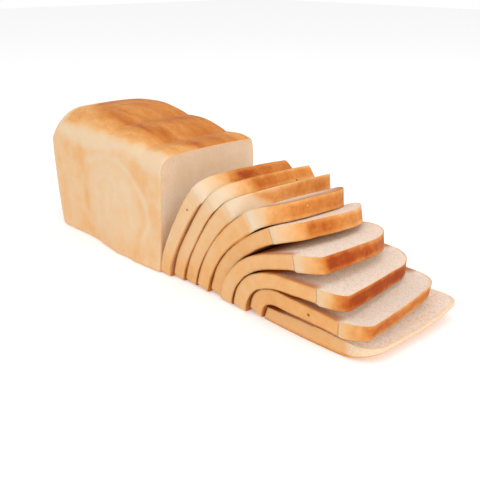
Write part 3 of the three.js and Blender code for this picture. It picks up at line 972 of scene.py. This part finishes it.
def bread_material(name, streaks, blotches, warmth):
    """Crust outside and crumb on the cut faces; which is which comes from the depth under the crust."""
    material = bpy.data.materials.new(name)
    material.use_nodes = True
    tree = material.node_tree
    shader = tree.nodes["Principled BSDF"]

    def noted(key, output="Fac"):
        return put(tree, "Attribute", attribute_name=key).outputs[output]

    loaf, depth, bake = noted("loaf", "Vector"), noted("depth"), noted("bake")
    crust = put(tree, "Group", node_tree=crust_shading)
    crumb = put(tree, "Group", node_tree=crumb_shading)
    for socket, source in (("Loaf", loaf), ("Bake", bake), ("Crown", noted("crown")),
                           ("Rim Run", noted("rim_run")), ("Fold Shade", noted("fold"))):
        tree.links.new(source, crust.inputs[socket])
    crust.inputs["Streaks"].default_value = streaks
    crust.inputs["Blotches"].default_value = blotches
    for socket, source in (("Loaf", loaf), ("Depth", depth), ("Painted Shade", noted("painted_shade"))):
        tree.links.new(source, crumb.inputs[socket])
    crumb.inputs["Warmth"].default_value = warmth

    inside = ease(tree, depth, *CRUST_DEPTH)
    shade = mix_colours(tree, inside, crust.outputs["Colour"], crumb.outputs["Colour"])
    crust_rough = carry(tree, bake, PALE_ROUGHNESS, BROWN_ROUGHNESS)
    rough = mix_values(tree, inside, crust_rough, CRUMB_ROUGHNESS)
    height = mix_values(tree, inside, crust.outputs["Height"], crumb.outputs["Height"])
    bump = put(tree, "Bump", {"Height": height, "Strength": BUMP_STRENGTH, "Distance": BUMP_HEIGHT})
    tree.links.new(shade, shader.inputs["Base Color"])
    tree.links.new(rough, shader.inputs["Roughness"])
    tree.links.new(bump.outputs["Normal"], shader.inputs["Normal"])
    shader.inputs["Specular IOR Level"].default_value = SPECULAR
    for socket, value in SUBSURFACE.items():
        shader.inputs[socket].default_value = value
    return material


# ---- Studio, in metres and watts ----
ROOM_LIGHT = 0.78
WHITE = (1, 1, 1, 1)
LAMP_AIM = (0, 0, 0.05)
LAMPS = (
    {"name": "key_lamp", "place": (0.45, -0.4, 1.75), "size": 1.8, "power": 10},
    {"name": "front_lamp", "place": (1.7, -0.4, 0.7), "size": 1.0, "power": 9},
)
FLOOR_HALF = 4
FLOOR_DROP = 0.0003             # how far under the part it lies, so that they don't share a plane
FLOOR_LOOK = {"Base Color": (0.8, 0.8, 0.8, 1), "Emission Color": WHITE, "Emission Strength": 0.3,
              "Roughness": 0.9, "Specular IOR Level": 0.1}


def make_floor():
    shape = bmesh.new()
    bmesh.ops.create_grid(shape, x_segments=8, y_segments=8, size=FLOOR_HALF)
    bmesh.ops.translate(shape, verts=shape.verts, vec=(0, 0, -FLOOR_DROP))
    mesh = bpy.data.meshes.new("floor")
    shape.to_mesh(mesh)
    shape.free()
    floor = bpy.data.objects.new("floor", mesh)
    bpy.context.scene.collection.objects.link(floor)
    paint = bpy.data.materials.new("pale_floor")
    paint.use_nodes = True
    shader = paint.node_tree.nodes["Principled BSDF"]
    for socket, value in FLOOR_LOOK.items():
        shader.inputs[socket].default_value = value
    mesh.materials.append(paint)


def add_lamp(name, place, size, power):
    lamp = bpy.data.lights.new(name, "AREA")
    lamp.shape = "SQUARE"
    lamp.size = size
    lamp.energy = power
    holder = bpy.data.objects.new(name, lamp)
    holder.location = place
    holder.rotation_euler = (Vector(LAMP_AIM) - Vector(place)).to_track_quat("-Z", "Y").to_euler()
    bpy.context.scene.collection.objects.link(holder)


def light_studio():
    """A white room, which lights the loaf less than it shows, and two soft lamps."""
    world = bpy.data.worlds.new("studio")
    world.use_nodes = True
    tree = world.node_tree
    glow = tree.nodes["Background"]
    glow.inputs["Color"].default_value = WHITE
    glow.inputs["Strength"].default_value = ROOM_LIGHT
    backdrop = put(tree, "Background", {"Color": WHITE, "Strength": 1})
    seen = put(tree, "LightPath").outputs["Is Camera Ray"]
    either = put(tree, "MixShader", {0: seen, 1: glow.outputs[0], 2: backdrop.outputs[0]})
    tree.links.new(either.outputs[0], tree.nodes["World Output"].inputs["Surface"])
    bpy.context.scene.world = world
    for lamp in LAMPS:
        add_lamp(**lamp)
    bpy.context.scene.view_settings.view_transform = "Standard"


# The camera in the loaf's own millimetres, and its angles in degrees.
CAMERA = {"x": 484.93, "y": -419.87, "z": 266.89, "azimuth": 46.51, "elevation": 21.37, "roll": 0.2}
FOCAL_PIXELS = 704.44
IMAGE_PIXELS = 480
SENSOR = 36


def make_camera():
    azimuth, elevation, roll = (math.radians(CAMERA[k]) for k in ("azimuth", "elevation", "roll"))
    back = Vector((math.sin(azimuth) * math.cos(elevation), -math.cos(azimuth) * math.cos(elevation),
                   math.sin(elevation)))
    right = Vector((math.cos(azimuth), math.sin(azimuth), 0))
    up = back.cross(right)
    rolled_right = right * math.cos(roll) + up * math.sin(roll)
    rolled_up = up * math.cos(roll) - right * math.sin(roll)
    data = bpy.data.cameras.new("camera")
    data.sensor_width = SENSOR
    data.lens = FOCAL_PIXELS / IMAGE_PIXELS * SENSOR
    camera = bpy.data.objects.new("camera", data)
    place = Vector((CAMERA["x"], CAMERA["y"], CAMERA["z"])) * MM + Vector((CUT_FACE, SIDEWAYS, 0))
    turn = Matrix((rolled_right, rolled_up, back)).transposed().to_4x4()
    camera.matrix_world = Matrix.Translation(place) @ turn
    bpy.context.scene.collection.objects.link(camera)
    bpy.context.scene.camera = camera


make_camera()
light_studio()
make_floor()
make_block(bread_material("block_bread", streaks=0.34, blotches=0.14, warmth=1.3))
slice_bread = bread_material("slice_bread", streaks=0, blotches=0.42, warmth=0.2)
for number, form in enumerate(SLICES, 1):
    make_slice(number, form, slice_bread)
make_heel(bread_material("heel_bread", streaks=0, blotches=0.1, warmth=0.3))
